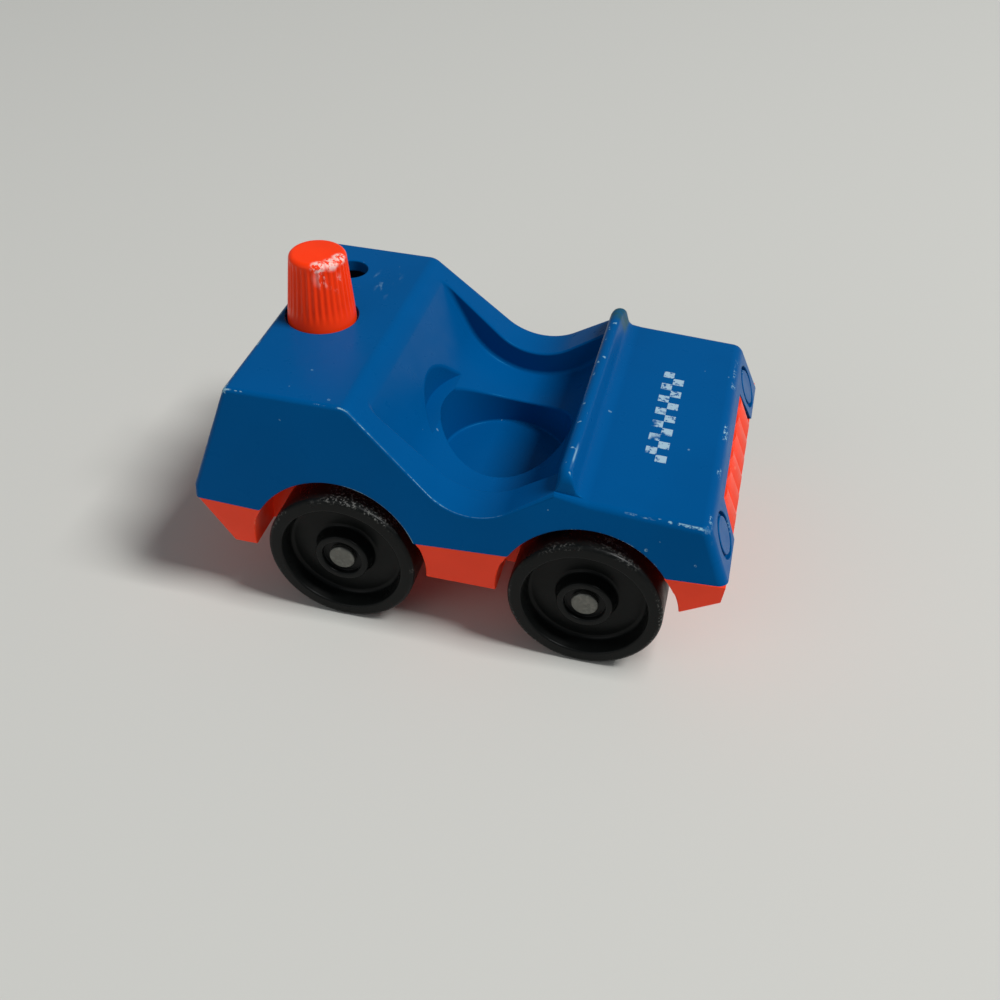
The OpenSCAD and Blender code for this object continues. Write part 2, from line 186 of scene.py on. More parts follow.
class ToyCarSizes(bpy.types.PropertyGroup):
    """Sizes of the car's pieces"""
    deck_z: length("Deck height", "Height of the rear deck", 44.4)
    rear_lean: angle("Rear lean", "Lean of the rear face from upright", 18.3)
    rear_step_z: length("Rear step", "Height at which the rear face starts to lean", 24.7)
    side_lean: angle("Side lean", "Lean of the sides from upright", 10.3)
    side_y: length("Half width", "Half the width at the rear end of the seam", 30.9)
    seam_rear_z: length("Seam at the rear", "Height of the seam at the rear end", 22.4)
    seam_low_x: length("Seam dip", "Place of the seam's lowest point", -7.0)
    seam_low_z: length("Seam low point", "Height of the seam's lowest point", 21.1)
    seam_front_z: length("Seam at the front", "Height of the seam at the front end", 24.0)
    hood_z: length("Hood height", "Height of the hood behind", 34.8)
    hood_front_z: length("Hood front height", "Height of the hood in front", 34.0)
    front_lean: angle("Front lean", "Lean of the front face from upright", 23.8)
    hood_edge_r: length("Hood front rounding", "Radius between hood and front face", 2.4)
    deck_front_r: length("Deck front rounding", "Radius between deck and seat back", 3.0)
    deck_rear_r: length("Deck rear rounding", "Radius between deck and rear face", 1.4)
    lip_x: length("Lip place", "Place of the windshield lip's rear face", 17.0)
    lip_z: length("Lip height", "Height of the windshield lip's ridge", 39.3)
    lip_ridge_r: length("Lip ridge", "Radius of the lip's ridge", 1.25)
    lip_foot_r: length("Lip foot", "Radius of the hollow between lip and hood", 3.2)
    lip_end: length("Lip end", "Length over which the lip runs down at each end", 3.4)
    scoop_x: length("Scoop place", "Place of the side scoop's middle", 3.2)
    scoop_z: length("Scoop height", "Height of the side scoop's lowest point", 28.5)
    scoop_r: length("Scoop radius", "Radius of the side scoop", 11.3)
    rim_back_slope: angle("Rear rim slope", "Slope of the rim behind the scoop", 41.4)
    rim_front_slope: angle("Front rim slope", "Slope of the rim ahead of the scoop", 34.5)
    cockpit_r: length("Cockpit radius", "Radius of the cockpit's floor", 16.2)
    cockpit_y: length("Cockpit half width", "Half the width between the inner walls", 22.4)
    seat_slope: angle("Seat slope", "Slope of the seat back", 61.0)
    seat_top_r: length("Seat top rounding", "Rounding of the seat back's top edge", 1.4)
    socket_floor_z: length("Socket floor", "Height of the seat socket's floor", 18.3)
    relief_r: length("Relief radius", "Radius of the relief behind the socket", 15.1)
    relief_z: length("Relief height", "Height of the ledge at the relief's foot", 29.2)
    wall: length("Wall", "Thickness of the shell", 2.2)
    arch_r: length("Arch radius", "Radius of the wheel arches", 16.1)
    arch_y: length("Well depth", "Distance of a wheel well's back from the middle", 21.5)
    rear_arch_back: length("Rear arch offset", "Distance of the rear arch behind its axle", 0.7)
    grille_z: length("Grille height", "Height of the grille's top", 30.5)
    lamp_y: length("Lamp place", "Distance of a headlamp from the middle", 22.6)
    lamp_z: length("Lamp height", "Height of the headlamps", 28.3)
    lamp_r: length("Lamp radius", "Radius of a headlamp's groove", 4.1)
    base_edge_r: length("Base edge", "Rounding of the base's outer edges", 0.35)
    beacon_ribs: IntProperty(name="Beacon ribs", description="Number of ribs round the beacon",
                             default=32, min=8)
    flute_steps: IntProperty(name="Flute steps", description="Points across a rib of the beacon",
                             default=8, min=4)
    flute_depth: length("Flute depth", "Depth of the beacon's flutes", 0.22)


class ToyCarColours(bpy.types.PropertyGroup):
    """Colours of the car's finishes"""
    blue: colour("Blue plastic", "Colour of the shell", (0.0, 0.080, 0.260))
    glint: colour("Blue glint", "Tint of reflections on the shell", (0.05, 0.60, 1.0))
    orange: colour("Orange plastic", "Colour of the base", (0.94, 0.054, 0.016))
    beacon_red: colour("Beacon plastic", "Colour of the beacon", (1.0, 0.046, 0.005))
    black: colour("Black plastic", "Colour of the wheels", (0.0050, 0.0057, 0.0055))
    steel: colour("Steel", "Colour of axles and fasteners", (0.14, 0.14, 0.127))
    worn: colour("Worn plastic", "Colour of chips and rubbed edges", (0.30, 0.52, 0.62))
    # A greyer, darker tint that the lip's far end takes
    lip_end_grey: colour("Grey lip end", "Greyer, darker tint on the lip's far end", (0.022, 0.082, 0.092))
    # Painted glow: a faint red that the orange plastics give off on their own, whatever the lamps do
    painted_red_glow: colour("Painted red glow", "Red glow painted on the orange plastics, whatever the lamps do", (1.0, 0.04, 0.01))
    orange_glint: colour("Orange glint", "Tint of reflections on the orange plastics", (1.0, 0.70, 0.55))
    worn_orange: colour("Worn orange", "Colour of rubbed edges of the base", (0.95, 0.28, 0.17))
    scuff_pink: colour("Beacon scuffs", "Colour of scuffs on the beacon", (0.90, 0.66, 0.60))
    scuff_grey: colour("Wheel scuffs", "Colour of scuffs on the wheels", (0.16, 0.16, 0.15))
    print_white: colour("Hood print", "Colour of the band on the hood", (0.40, 0.56, 0.65))
    floor: colour("Floor", "Colour of the floor", (0.60, 0.595, 0.558))


def sizes():
    """The sizes in millimetres, with angles in radians."""
    group = bpy.context.scene.toy_car_sizes
    values = {}
    for key, item in group.bl_rna.properties.items():
        if key in ("rna_type", "name"):
            continue
        value = getattr(group, key)
        values[key] = value / MM if item.unit == "LENGTH" else value
    return SimpleNamespace(**values)


def colours():
    """The finishes' colours."""
    return bpy.context.scene.toy_car_colours


# Outlines in the plane of X and Z, in millimetres

def arc(centre, radius, start, end, steps):
    """Points of an arc between two angles in radians, counted from +X towards +Z."""
    turn = (end - start) / steps
    return [centre + radius * Vector((math.cos(start + turn * i), math.sin(start + turn * i)))
            for i in range(steps + 1)]


def rounded(before, point, after, radius, steps=6):
    """Points of a round corner on the way from before to after."""
    u = (before - point).normalized()
    v = (after - point).normalized()
    half = math.acos(u.dot(v)) / 2
    middle = point + (u + v).normalized() * radius / math.sin(half)
    start = point + u * radius / math.tan(half) - middle
    end = point + v * radius / math.tan(half) - middle
    from_angle = math.atan2(start.y, start.x)
    turn = (math.atan2(end.y, end.x) - from_angle + 3 * math.pi) % (2 * math.pi) - math.pi
    return arc(middle, radius, from_angle, from_angle + turn, steps)


def scoop_arc(s, radius, start, end, steps):
    """Points of an arc under the scoop's centre, between two angles from straight down."""
    down = -math.pi / 2
    return arc(Vector((s.scoop_x, s.scoop_z + s.scoop_r)), radius, down + start, down + end, steps)


def half_width(s, z):
    """Half the shell's width at height z."""
    return s.side_y - (z - s.seam_rear_z) * math.tan(s.side_lean)


def front_at(s, z):
    """Place of the front face at height z."""
    return SHELL_HIGH.x / MM - (z - s.seam_front_z) * math.tan(s.front_lean)


def lip_section(s):
    """The lip's cross-section from its rear foot over the ridge to the hood."""
    ridge = Vector((s.lip_x + s.lip_ridge_r, s.lip_z - s.lip_ridge_r))
    over = arc(ridge, s.lip_ridge_r, math.pi, LIP_FACE, LIP_STEPS)
    normal = Vector((math.cos(LIP_FACE), math.sin(LIP_FACE)))
    down = Vector((math.sin(LIP_FACE), -math.cos(LIP_FACE)))
    foot_z = s.hood_z + s.lip_foot_r * (1 - math.sin(LIP_FACE))
    foot = over[-1] + down * (over[-1].y - foot_z) / math.cos(LIP_FACE)
    hollow = foot + normal * s.lip_foot_r
    return over + arc(hollow, s.lip_foot_r, math.pi + LIP_FACE, 1.5 * math.pi, LIP_STEPS)


def lip_base(lip_foot, hood_rear, x):
    """Height of the straight line below the lip."""
    share = (x - lip_foot.x) / (hood_rear.x - lip_foot.x)
    return lip_foot.y + share * (hood_rear.y - lip_foot.y)


def upper_outline(s):
    """The shell's side outline from below the nose over the top to below the rear.

    Each entry is a point, the windshield lip's height above it, and whether the edge there wears.
    """
    rear_x = SHELL_LOW.x / MM
    nose_z = s.seam_front_z - BELOW_SEAM
    nose = Vector((front_at(s, nose_z), nose_z))
    hood_front = Vector((front_at(s, s.hood_front_z), s.hood_front_z))
    lip = lip_section(s)
    hood_rear = Vector((lip[-1].x, s.hood_z))
    rim = scoop_arc(s, s.scoop_r, s.rim_front_slope, -s.rim_back_slope, RIM_STEPS)
    lip_foot_z = rim[0].y + (s.lip_x - rim[0].x) * math.tan(s.rim_front_slope)
    lip_foot = Vector((s.lip_x - LIP_DRAFT, lip_foot_z))
    deck_front_x = rim[-1].x - (s.deck_z - rim[-1].y) / math.tan(s.rim_back_slope)
    deck_front = Vector((deck_front_x, s.deck_z))
    deck_rear = Vector((rear_x + (s.deck_z - s.rear_step_z) * math.tan(s.rear_lean), s.deck_z))
    step = Vector((rear_x, s.rear_step_z))
    hood_corner = rounded(nose, hood_front, hood_rear, s.hood_edge_r, CORNER_STEPS)
    seat_corner = rounded(rim[-1], deck_front, deck_rear, s.deck_front_r, CORNER_STEPS)
    rear_corner = rounded(deck_front, deck_rear, step, s.deck_rear_r, CORNER_STEPS)

    chain = [(nose, 0.0, False)]
    chain += [(point, 0.0, i in WORN_POINTS) for i, point in enumerate(hood_corner)]
    for point in reversed(lip):
        base = Vector((point.x, lip_base(lip_foot, hood_rear, point.x)))
        chain.append((base, point.y - base.y, point.y > s.lip_z - LIP_WORN))
    chain += [(point, 0.0, False) for point in [lip_foot] + rim + seat_corner]
    chain += [(point, 0.0, i in WORN_POINTS) for i, point in enumerate(rear_corner)]
    return chain + [(step, 0.0, False), (step - Vector((0, BELOW_SEAM)), 0.0, False)]


# Mesh tools

def prism(points, low, high, plane="XZ"):
    """A flat outline, in X and Z or in Y and Z, extruded between two places on the third axis."""
    bm = bmesh.new()
    corners = []
    for p in points:
        place = (p.x, low, p.y) if plane == "XZ" else (low, p.x, p.y)
        corners.append(bm.verts.new(place))
    face = bm.faces.new(corners)
    step = Vector((0, high - low, 0)) if plane == "XZ" else Vector((high - low, 0, 0))
    grown = bmesh.ops.extrude_face_region(bm, geom=[face], use_keep_orig=True)
    moved = [g for g in grown["geom"] if isinstance(g, bmesh.types.BMVert)]
    bmesh.ops.translate(bm, verts=moved, vec=step)
    bmesh.ops.recalc_face_normals(bm, faces=bm.faces)
    return bm


def turned(profile, place, turn=Matrix.Identity(4), steps=96, closed=True):
    """An outline of radius and height, spun about Z and then turned and placed."""
    bm = bmesh.new()
    corners = [bm.verts.new((p[0], 0, p[1])) for p in profile]
    pairs = zip(corners, corners[1:] + corners[:1] if closed else corners[1:])
    edges = [bm.edges.new(pair) for pair in pairs]
    bmesh.ops.spin(bm, geom=corners + edges, axis=(0, 0, 1), cent=(0, 0, 0), steps=steps,
                   angle=2 * math.pi, use_merge=True)
    bmesh.ops.remove_doubles(bm, verts=bm.verts, dist=MERGE)
    bmesh.ops.recalc_face_normals(bm, faces=bm.faces)
    bmesh.ops.transform(bm, verts=bm.verts, matrix=Matrix.Translation(place) @ turn)
    return bm


def rod(radius, low, high, place=(0, 0, 0), turn=Matrix.Identity(4), steps=96):
    """A round bar along Z from low to high, then turned and placed."""
    bm = bmesh.new()
    shift = Matrix.Translation((0, 0, (low + high) / 2))
    bmesh.ops.create_cone(bm, cap_ends=True, segments=steps, radius1=radius, radius2=radius,
                          depth=high - low, matrix=Matrix.Translation(place) @ turn @ shift)
    return bm


def round_edges(bm, edges, size, segments=4):
    """Rounds edges by one size."""
    made = bmesh.ops.bevel(bm, geom=edges, offset=size, offset_type="OFFSET", segments=segments,
                           profile=0.5, affect="EDGES", clamp_overlap=False, material=-1)
    for face in made["faces"]:
        face.material_index = MARK_EDGE


def slice_off(bm, place, normal):
    """Cuts away what lies beyond a plane and closes the cut."""
    geom = list(bm.verts) + list(bm.edges) + list(bm.faces)
    cut = bmesh.ops.bisect_plane(bm, geom=geom, plane_co=place, plane_no=normal, clear_outer=True)
    edges = [g for g in cut["geom_cut"] if isinstance(g, bmesh.types.BMEdge)]
    bmesh.ops.contextual_create(bm, geom=edges)
    bmesh.ops.recalc_face_normals(bm, faces=bm.faces)


def new_object(name, bm):
    """Turns a bmesh into an object in the scene."""
    mesh = bpy.data.meshes.new(name)
    bm.to_mesh(mesh)
    bm.free()
    obj = bpy.data.objects.new(name, mesh)
    bpy.context.scene.collection.objects.link(obj)
    return obj


def apply_modifiers(obj):
    """Makes the modified mesh the object's own mesh."""
    evaluated = obj.evaluated_get(bpy.context.evaluated_depsgraph_get())
    mesh = bpy.data.meshes.new_from_object(evaluated)
    old = obj.data
    obj.modifiers.clear()
    obj.data = mesh
    bpy.data.meshes.remove(old)


def combine(obj, bm, mark, operation="DIFFERENCE"):
    """Cuts one shape from an object or adds it, leaving a mark on the faces that come from it."""
    for face in bm.faces:
        face.material_index = mark
    tool = new_object("tool", bm)
    for material in obj.data.materials:
        tool.data.materials.append(material)
    modifier = obj.modifiers.new("combine", "BOOLEAN")
    modifier.operation = operation
    modifier.solver = "EXACT"
    modifier.material_mode = "INDEX"
    modifier.object = tool
    apply_modifiers(obj)
    mesh = tool.data
    bpy.data.objects.remove(tool)
    bpy.data.meshes.remove(mesh)


def round_by_weight(obj, size_of, segments):
    """Rounds every edge by the size that size_of gives for it, in one pass."""
    bm = bmesh.new()
    bm.from_mesh(obj.data)
    layer = bm.edges.layers.float.new("bevel_weight_edge")
    wanted = {edge: size_of(edge) for edge in bm.edges}
    most = max(wanted.values())
    for edge, size in wanted.items():
        edge[layer] = size / most
    bm.to_mesh(obj.data)
    bm.free()
    modifier = obj.modifiers.new("round", "BEVEL")
    modifier.limit_method = "WEIGHT"
    modifier.offset_type = "OFFSET"
    modifier.width = most
    modifier.segments = segments
    modifier.profile = 0.5
    modifier.use_clamp_overlap = False
    modifier.loop_slide = True
    modifier.material = MARK_EDGE
    apply_modifiers(obj)


def finish_piece(obj, material, body, node):
    """Scales a piece to metres, shades it, gives it its finish and puts it on its body."""
    mesh = obj.data
    mesh.transform(Matrix.Scale(MM, 4))
    bm = bmesh.new()
    bm.from_mesh(mesh)
    worn = bm.verts.layers.float.new("worn_edge")
    for vert in bm.verts:
        vert[worn] = float(all(face.material_index == MARK_EDGE for face in vert.link_faces))
    for face in bm.faces:
        face.smooth = True
        face.material_index = 0
    for edge in bm.edges:
        edge.smooth = len(edge.link_faces) == 2 and edge.calc_face_angle() < SHARP_ANGLE
    bm.to_mesh(mesh)
    bm.free()
    mesh.materials.clear()
    mesh.materials.append(material)
    normals = obj.modifiers.new("even_normals", "WEIGHTED_NORMAL")
    normals.keep_sharp = True
    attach(obj, body)
    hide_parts(node)


# Finishes

class Finish:
    """A material and the few node helpers that the finishes share."""

    def __init__(self, name, base, roughness, metallic=0.0, specular=0.28, glint=(1, 1, 1)):
        self.material = bpy.data.materials.new(name)
        self.material.use_nodes = True
        self.tree = self.material.node_tree
        self.shader = self.tree.nodes["Principled BSDF"].inputs
        self.fill(self.shader, {"Base Color": base, "Roughness": roughness, "Metallic": metallic,
                                "Specular IOR Level": specular, "Specular Tint": glint})
        self.place = self.node("TexCoord", {})["Object"]
        self.axes = self.node("SeparateXYZ", {0: self.place})

    def fill(self, inputs, values):
        """Sets inputs to numbers, places or colours, or links them."""
        for key, value in values.items():
            if isinstance(value, bpy.types.NodeSocket):
                self.tree.links.new(value, inputs[key])
            elif inputs[key].type == "RGBA":
                inputs[key].default_value = (*value, 1)
            else:
                inputs[key].default_value = value

    def node(self, kind, values, **options):
        """Makes a node, sets its options and then its inputs, and gives its outputs."""
        node = self.tree.nodes.new("ShaderNode" + kind)
        for option, value in options.items():
            setattr(node, option, value)
        self.fill(node.inputs, values)
        return node.outputs

    def maths(self, operation, a, b, clamp=False):
        """The sum, product or the like of two values."""
        return self.node("Math", {0: a, 1: b}, operation=operation, use_clamp=clamp)[0]

    def noise(self, scale, detail, stretch=(1, 1, 1), offset=(0, 0, 0), roughness=0.5):
        """Noise with a grain of about 1/scale metres."""
        place = self.node("Mapping", {"Vector": self.place, "Scale": stretch, "Location": offset})[0]
        return self.node("TexNoise", {"Vector": place, "Scale": scale, "Detail": detail,
                                      "Roughness": roughness})["Fac"]

    def step(self, value, low, high, to_low=0.0, to_high=1.0):
        """Maps a value smoothly from one range to another."""
        ranges = {"From Min": low, "From Max": high, "To Min": to_low, "To Max": to_high}
        return self.node("MapRange", {"Value": value, **ranges}, interpolation_type="SMOOTHSTEP")[0]

    def mix(self, share, a, b):
        """A colour between a and b."""
        return self.node("Mix", {"Factor": share, "A": a, "B": b}, data_type="RGBA")["Result"]

    def attribute(self, name):
        """A value that the mesh carries."""
        return self.node("Attribute", {}, attribute_name=name)["Fac"]

    def near(self, centre, reach):
        """One at a place in millimetres, falling to nothing at a distance of reach."""
        centre = [value * MM for value in centre]
        distance = self.node("VectorMath", {0: self.place, 1: centre}, operation="DISTANCE")["Value"]
        return self.step(distance, 0.0, reach * MM, 1.0, 0.0)

    def within(self, axis, low, high, soft=0.3):
        """One between two places in millimetres on an axis, with soft ends."""
        rise = self.step(self.axes[axis], (low - soft) * MM, (low + soft) * MM)
        fall = self.step(self.axes[axis], (high - soft) * MM, (high + soft) * MM, 1.0, 0.0)
        return self.maths("MULTIPLY", rise, fall)

    def all_of(self, *masks):
        """The product of several masks."""
        result = masks[0]
        for mask in masks[1:]:
            result = self.maths("MULTIPLY", result, mask)
        return result

    def any_of(self, *masks):
        """The largest of several masks."""
        result = masks[0]
        for mask in masks[1:]:
            result = self.maths("MAXIMUM", result, mask)
        return result

    def faint(self, mask, share):
        """A mask weakened to a share of itself."""
        return self.maths("MULTIPLY", mask, share)

    def spots(self, places):
        """One at each of several places, which are given with their reach in millimetres."""
        return self.any_of(*(self.near(*place) for place in places))

    def clouded(self, tint, scale, shade):
        """A colour that drifts between a tint and a darker shade of it."""
        cloud = self.step(self.noise(scale, 3), 0.35, 0.7)
        return self.mix(cloud, tint, [value * shade for value in tint])

    def chequer(self, square, corner):
        """One on every other square of a chequer pattern in X and Y that starts at a corner."""
        start = (-corner[0] * MM, -corner[1] * MM, 0)
        place = self.node("Mapping", {"Vector": self.place, "Scale": (1, 1, 0), "Location": start})[0]
        return self.node("TexChecker", {"Vector": place, "Scale": 1 / (square * MM)})["Fac"]

    def paint_glow(self, tint, strength):
        """Paints a faint red glow on the surface: an emission that shines whatever light falls on it."""
        self.fill(self.shader, {"Emission Color": tint, "Emission Strength": strength})

    def see_through(self, weight):
        """Lets a little light into the surface, and red light the furthest."""
        self.fill(self.shader, {"Subsurface Weight": weight, "Subsurface Radius": (1.0, 0.25, 0.1),
                                "Subsurface Scale": 1.2 * MM})

    def bump(self, height, distance, strength):
        """Tilts the shading as if the surface rose by a distance in millimetres."""
        tilted = self.node("Bump", {"Height": height, "Distance": distance * MM, "Strength": strength})
        self.fill(self.shader, {"Normal": tilted[0]})

    def dented(self, scale, grain, wear, distance, strength):
        """A fine grain with the wear pressed into it."""
        height = self.faint(self.noise(scale, 2), grain)
        self.bump(self.maths("SUBTRACT", height, wear), distance, strength)

    def colour(self, value):
        """Links the base colour."""
        self.fill(self.shader, {"Base Color": value})

    def roughness(self, value):
        """Links the roughness."""
        self.fill(self.shader, {"Roughness": value})


def hood_band(finish):
    """A worn white chequer band on the hood."""
    square = 2.0
    low, high = (29.6, -14.0), (33.6, 14.0)
    soft = 0.05
    on_hood = finish.all_of(finish.within(0, low[0] + soft, high[0] - soft, soft),
                            finish.within(1, low[1] + soft, high[1] - soft, soft),
                            finish.within(2, 33, 40))
    thin = finish.step(finish.noise(1300, 3, roughness=0.65), 0.36, 0.5)
    gaps = finish.step(finish.noise(330, 2, offset=(0.2, 0.5, 0.1)), 0.3, 0.44)
    return finish.all_of(on_hood, finish.chequer(square, low), thin, gaps)


def blue_wear(finish, s, on_lip):
    """Where the shell is rubbed, chipped or scratched down to paler plastic, with a pale streak along the lip's
    front.
    """
    fine = finish.noise(2300, 3, roughness=0.7)
    patches = finish.noise(190, 2, offset=(0.3, 0.1, 0.7))
    on_edge = finish.attribute("worn_edge")
    middle = finish.step(on_edge, 0.35, 0.9)
    beside = finish.step(on_edge, 0.1, 0.7)
    right_side = finish.within(1, -40, -24.8)
    outside = finish.any_of(right_side, finish.within(1, 24.8, 40),
                            finish.within(0, 38, 60), finish.within(0, -60, -38))
    rubbed = finish.all_of(middle, outside, finish.maths("SUBTRACT", 1.0, on_lip),
                           finish.step(patches, 0.58, 0.67), finish.step(fine, 0.52, 0.6))
    dots = finish.step(finish.noise(760, 1, offset=(0.5, 0.5, 0.2)), 0.66, 0.72)
    lip_dots = finish.all_of(middle, on_lip, dots)
    broken = finish.step(finish.noise(150, 2, offset=(0.4, 0.2, 0.9)), 0.4, 0.56, 0.3, 1.0)
    seat_edge = finish.all_of(middle, finish.within(0, -19.5, 9), right_side,
                              finish.step(fine, 0.38, 0.54, 0.1, 0.9), broken)
    flakes = finish.step(finish.noise(520, 2, offset=(0.8, 0.3, 0.5)), 0.53, 0.6)
    hood_side = finish.all_of(beside, finish.within(0, 31, 41.5, 2.5), right_side, flakes,
                              finish.step(fine, 0.4, 0.5))
    chips = finish.all_of(finish.step(finish.spots(CHIPS), 0.05, 0.6), beside,
                          finish.step(fine, 0.42, 0.52))
    dents = finish.all_of(finish.step(finish.spots(NICKS), 0.05, 0.5),
                          finish.step(fine, 0.4, 0.55, 0.1, 0.6))
    # A pale streak along the lip's front just past its ridge, at its right end
    lip_front = s.lip_x + 1.6 * s.lip_ridge_r
    streak = finish.step(finish.noise(420, 2, stretch=(1, 0.4, 1)), 0.42, 0.56)
    lip_pale_streak = finish.all_of(finish.within(0, lip_front - 0.12, lip_front + 0.12, 0.12),
                                finish.within(1, -25, -19.5, 1.5),
                                finish.within(2, s.lip_z - 1.2, s.lip_z + 9), streak)
    lines = finish.step(finish.noise(900, 2, stretch=(1, 0.22, 1), offset=(0.1, 0.9, 0)), 0.57, 0.63)
    around_hole = finish.near((-28.4, 13.5, s.deck_z), 8)
    scratches = finish.all_of(around_hole, lines, finish.step(patches, 0.42, 0.55))
    specks = finish.step(finish.noise(640, 1, offset=(0.6, 0.2, 0.4)), 0.81, 0.83)
    return finish.any_of(rubbed, seat_edge, hood_side, chips, dents, finish.faint(lip_dots, 0.7),
                         finish.faint(lip_pale_streak, 0.7), finish.faint(scratches, 0.4),
                         finish.faint(specks, 0.4))


def blue_plastic(s):
    """Satin blue plastic with rubbed edges, chips and a worn chequer band on the hood."""
    tone = colours()
    finish = Finish("blue_plastic", tone.blue, 0.32, specular=0.09, glint=tone.glint)
    on_lip = finish.all_of(finish.within(0, s.lip_x - 1, s.lip_x + 4),
                           finish.within(2, s.lip_z - 3.2, s.lip_z + 9))
    worn = blue_wear(finish, s, on_lip)
    # A greyer, darker tint over the lip's far end, broken up by noise
    grey = finish.step(finish.noise(1100, 3, stretch=(1, 1, 0.4)), 0.35, 0.6, 0.6, 1.0)
    lip_end = finish.all_of(on_lip, finish.within(1, 22.6, 40, 1.4), grey)
    base = finish.clouded(tone.blue, 45, 0.93)
    base = finish.mix(finish.faint(hood_band(finish), 0.85), base, tone.print_white)
    base = finish.mix(finish.faint(lip_end, 0.85), base, tone.lip_end_grey)
    finish.colour(finish.mix(finish.faint(worn, 0.85), base, tone.worn))
    gloss = finish.step(finish.noise(260, 4), 0.3, 0.75, 0.27, 0.37)
    finish.roughness(finish.maths("ADD", gloss, finish.faint(worn, 0.35), clamp=True))
    finish.dented(700, 0.25, worn, 0.03, 0.6)
    return finish.material


def orange_plastic():
    """Satin orange plastic with a faint painted red glow, a little see-through, with rubbed edges."""
    tone = colours()
    finish = Finish("orange_plastic", tone.orange, 0.36, specular=0.2, glint=tone.orange_glint)
    # Painted glow: a faint red emission that brightens the orange whatever the lamps do
    finish.paint_glow(tone.painted_red_glow, 0.05)
    finish.see_through(0.12)
    edge = finish.step(finish.attribute("worn_edge"), 0.4, 0.95)
    fine = finish.step(finish.noise(1500, 3, roughness=0.7), 0.42, 0.56)
    rubbed = finish.all_of(edge, finish.step(finish.noise(240, 2), 0.52, 0.62), fine)
    specks = finish.step(finish.noise(430, 1, offset=(0.4, 0.8, 0.2)), 0.77, 0.79)
    worn = finish.any_of(rubbed, finish.faint(specks, 0.5))
    base = finish.clouded(tone.orange, 80, 0.92)
    finish.colour(finish.mix(finish.faint(worn, 0.6), base, tone.worn_orange))
    finish.roughness(finish.step(finish.noise(300, 4), 0.3, 0.75, 0.28, 0.42))
    finish.dented(900, 0.3, worn, 0.03, 0.5)
    return finish.material


def beacon_plastic():
    """Satin orange-red plastic with a faint painted red glow, scuffed white on one side of the top edge."""
    tone = colours()
    finish = Finish("beacon_plastic", tone.beacon_red, 0.34, specular=0.2, glint=tone.orange_glint)
    # Painted glow: a faint red emission that brightens the beacon whatever the lamps do
    finish.paint_glow(tone.painted_red_glow, 0.05)
    finish.see_through(0.15)
    x = (BEACON_LOW.x + BEACON_HIGH.x) / 2 / MM
    top = BEACON_HIGH.z / MM
    fine = finish.step(finish.noise(1100, 3, roughness=0.7), 0.42, 0.54)
    edge = finish.spots((((x + 4.4, -0.6, top), 2.2), ((x + 3.6, -2.8, top - 0.2), 2.3),
                         ((x + 1.8, -4.4, top - 0.4), 2.2)))
    below = finish.spots((((x + 2.6, -4.4, top - 2.6), 2.4), ((x + 4.6, -2.9, top - 4.0), 2.2)))
    streaks = finish.step(finish.noise(700, 3, stretch=(1, 1, 0.5), roughness=0.65), 0.52, 0.6)
    scuffs = finish.any_of(finish.all_of(finish.step(edge, 0.12, 0.7), fine),
                           finish.faint(finish.all_of(below, streaks), 0.75))
    base = finish.clouded(tone.beacon_red, 120, 0.9)
    finish.colour(finish.mix(finish.faint(scuffs, 0.85), base, tone.scuff_pink))
    finish.roughness(finish.step(scuffs, 0.0, 1.0, 0.3, 0.6))
    finish.dented(800, 0.3, scuffs, 0.04, 0.5)
    return finish.material


def black_plastic():
    """Satin black plastic with scuffed shoulders."""
    tone = colours()
    finish = Finish("black_plastic", tone.black, 0.34, specular=0.12)
    fine = finish.noise(1900, 3, roughness=0.75)
    scuffs = finish.all_of(finish.attribute("worn_edge"), finish.step(fine, 0.53, 0.62),
                           finish.step(finish.noise(120, 2), 0.4, 0.62))
    dust = finish.step(finish.noise(350, 4), 0.5, 0.8)
    base = finish.mix(finish.faint(dust, 0.35), tone.black, [value * 1.7 for value in tone.black])
    finish.colour(finish.mix(finish.faint(scuffs, 0.8), base, tone.scuff_grey))
    rough = finish.step(finish.noise(280, 3), 0.3, 0.75, 0.27, 0.42)
    finish.roughness(finish.maths("ADD", rough, finish.faint(scuffs, 0.3), clamp=True))
    finish.bump(finish.maths("ADD", finish.faint(fine, 0.3), scuffs), 0.04, 0.5)
    return finish.material


def dull_steel():
    """Dull grey steel with small dings."""
    tone = colours()
    finish = Finish("dull_steel", tone.steel, 0.45, metallic=0.85)
    dings = finish.step(finish.noise(950, 2), 0.5, 0.62)
    finish.colour(finish.mix(dings, tone.steel, [value * 1.2 for value in tone.steel]))
    finish.roughness(finish.step(finish.noise(1400, 3), 0.3, 0.7, 0.36, 0.58))
    finish.bump(dings, 0.06, 0.7)
    return finish.material


# Shell

def side_rounding(x):
    """How far the edge between a side and the skin beside it is rounded."""
    for (low, size), (high, next_size) in zip(SIDE_ROUNDING, SIDE_ROUNDING[1:]):
        if x <= high:
            return size + (next_size - size) * (x - low) / (high - low)
    return SIDE_ROUNDING[-1][1]


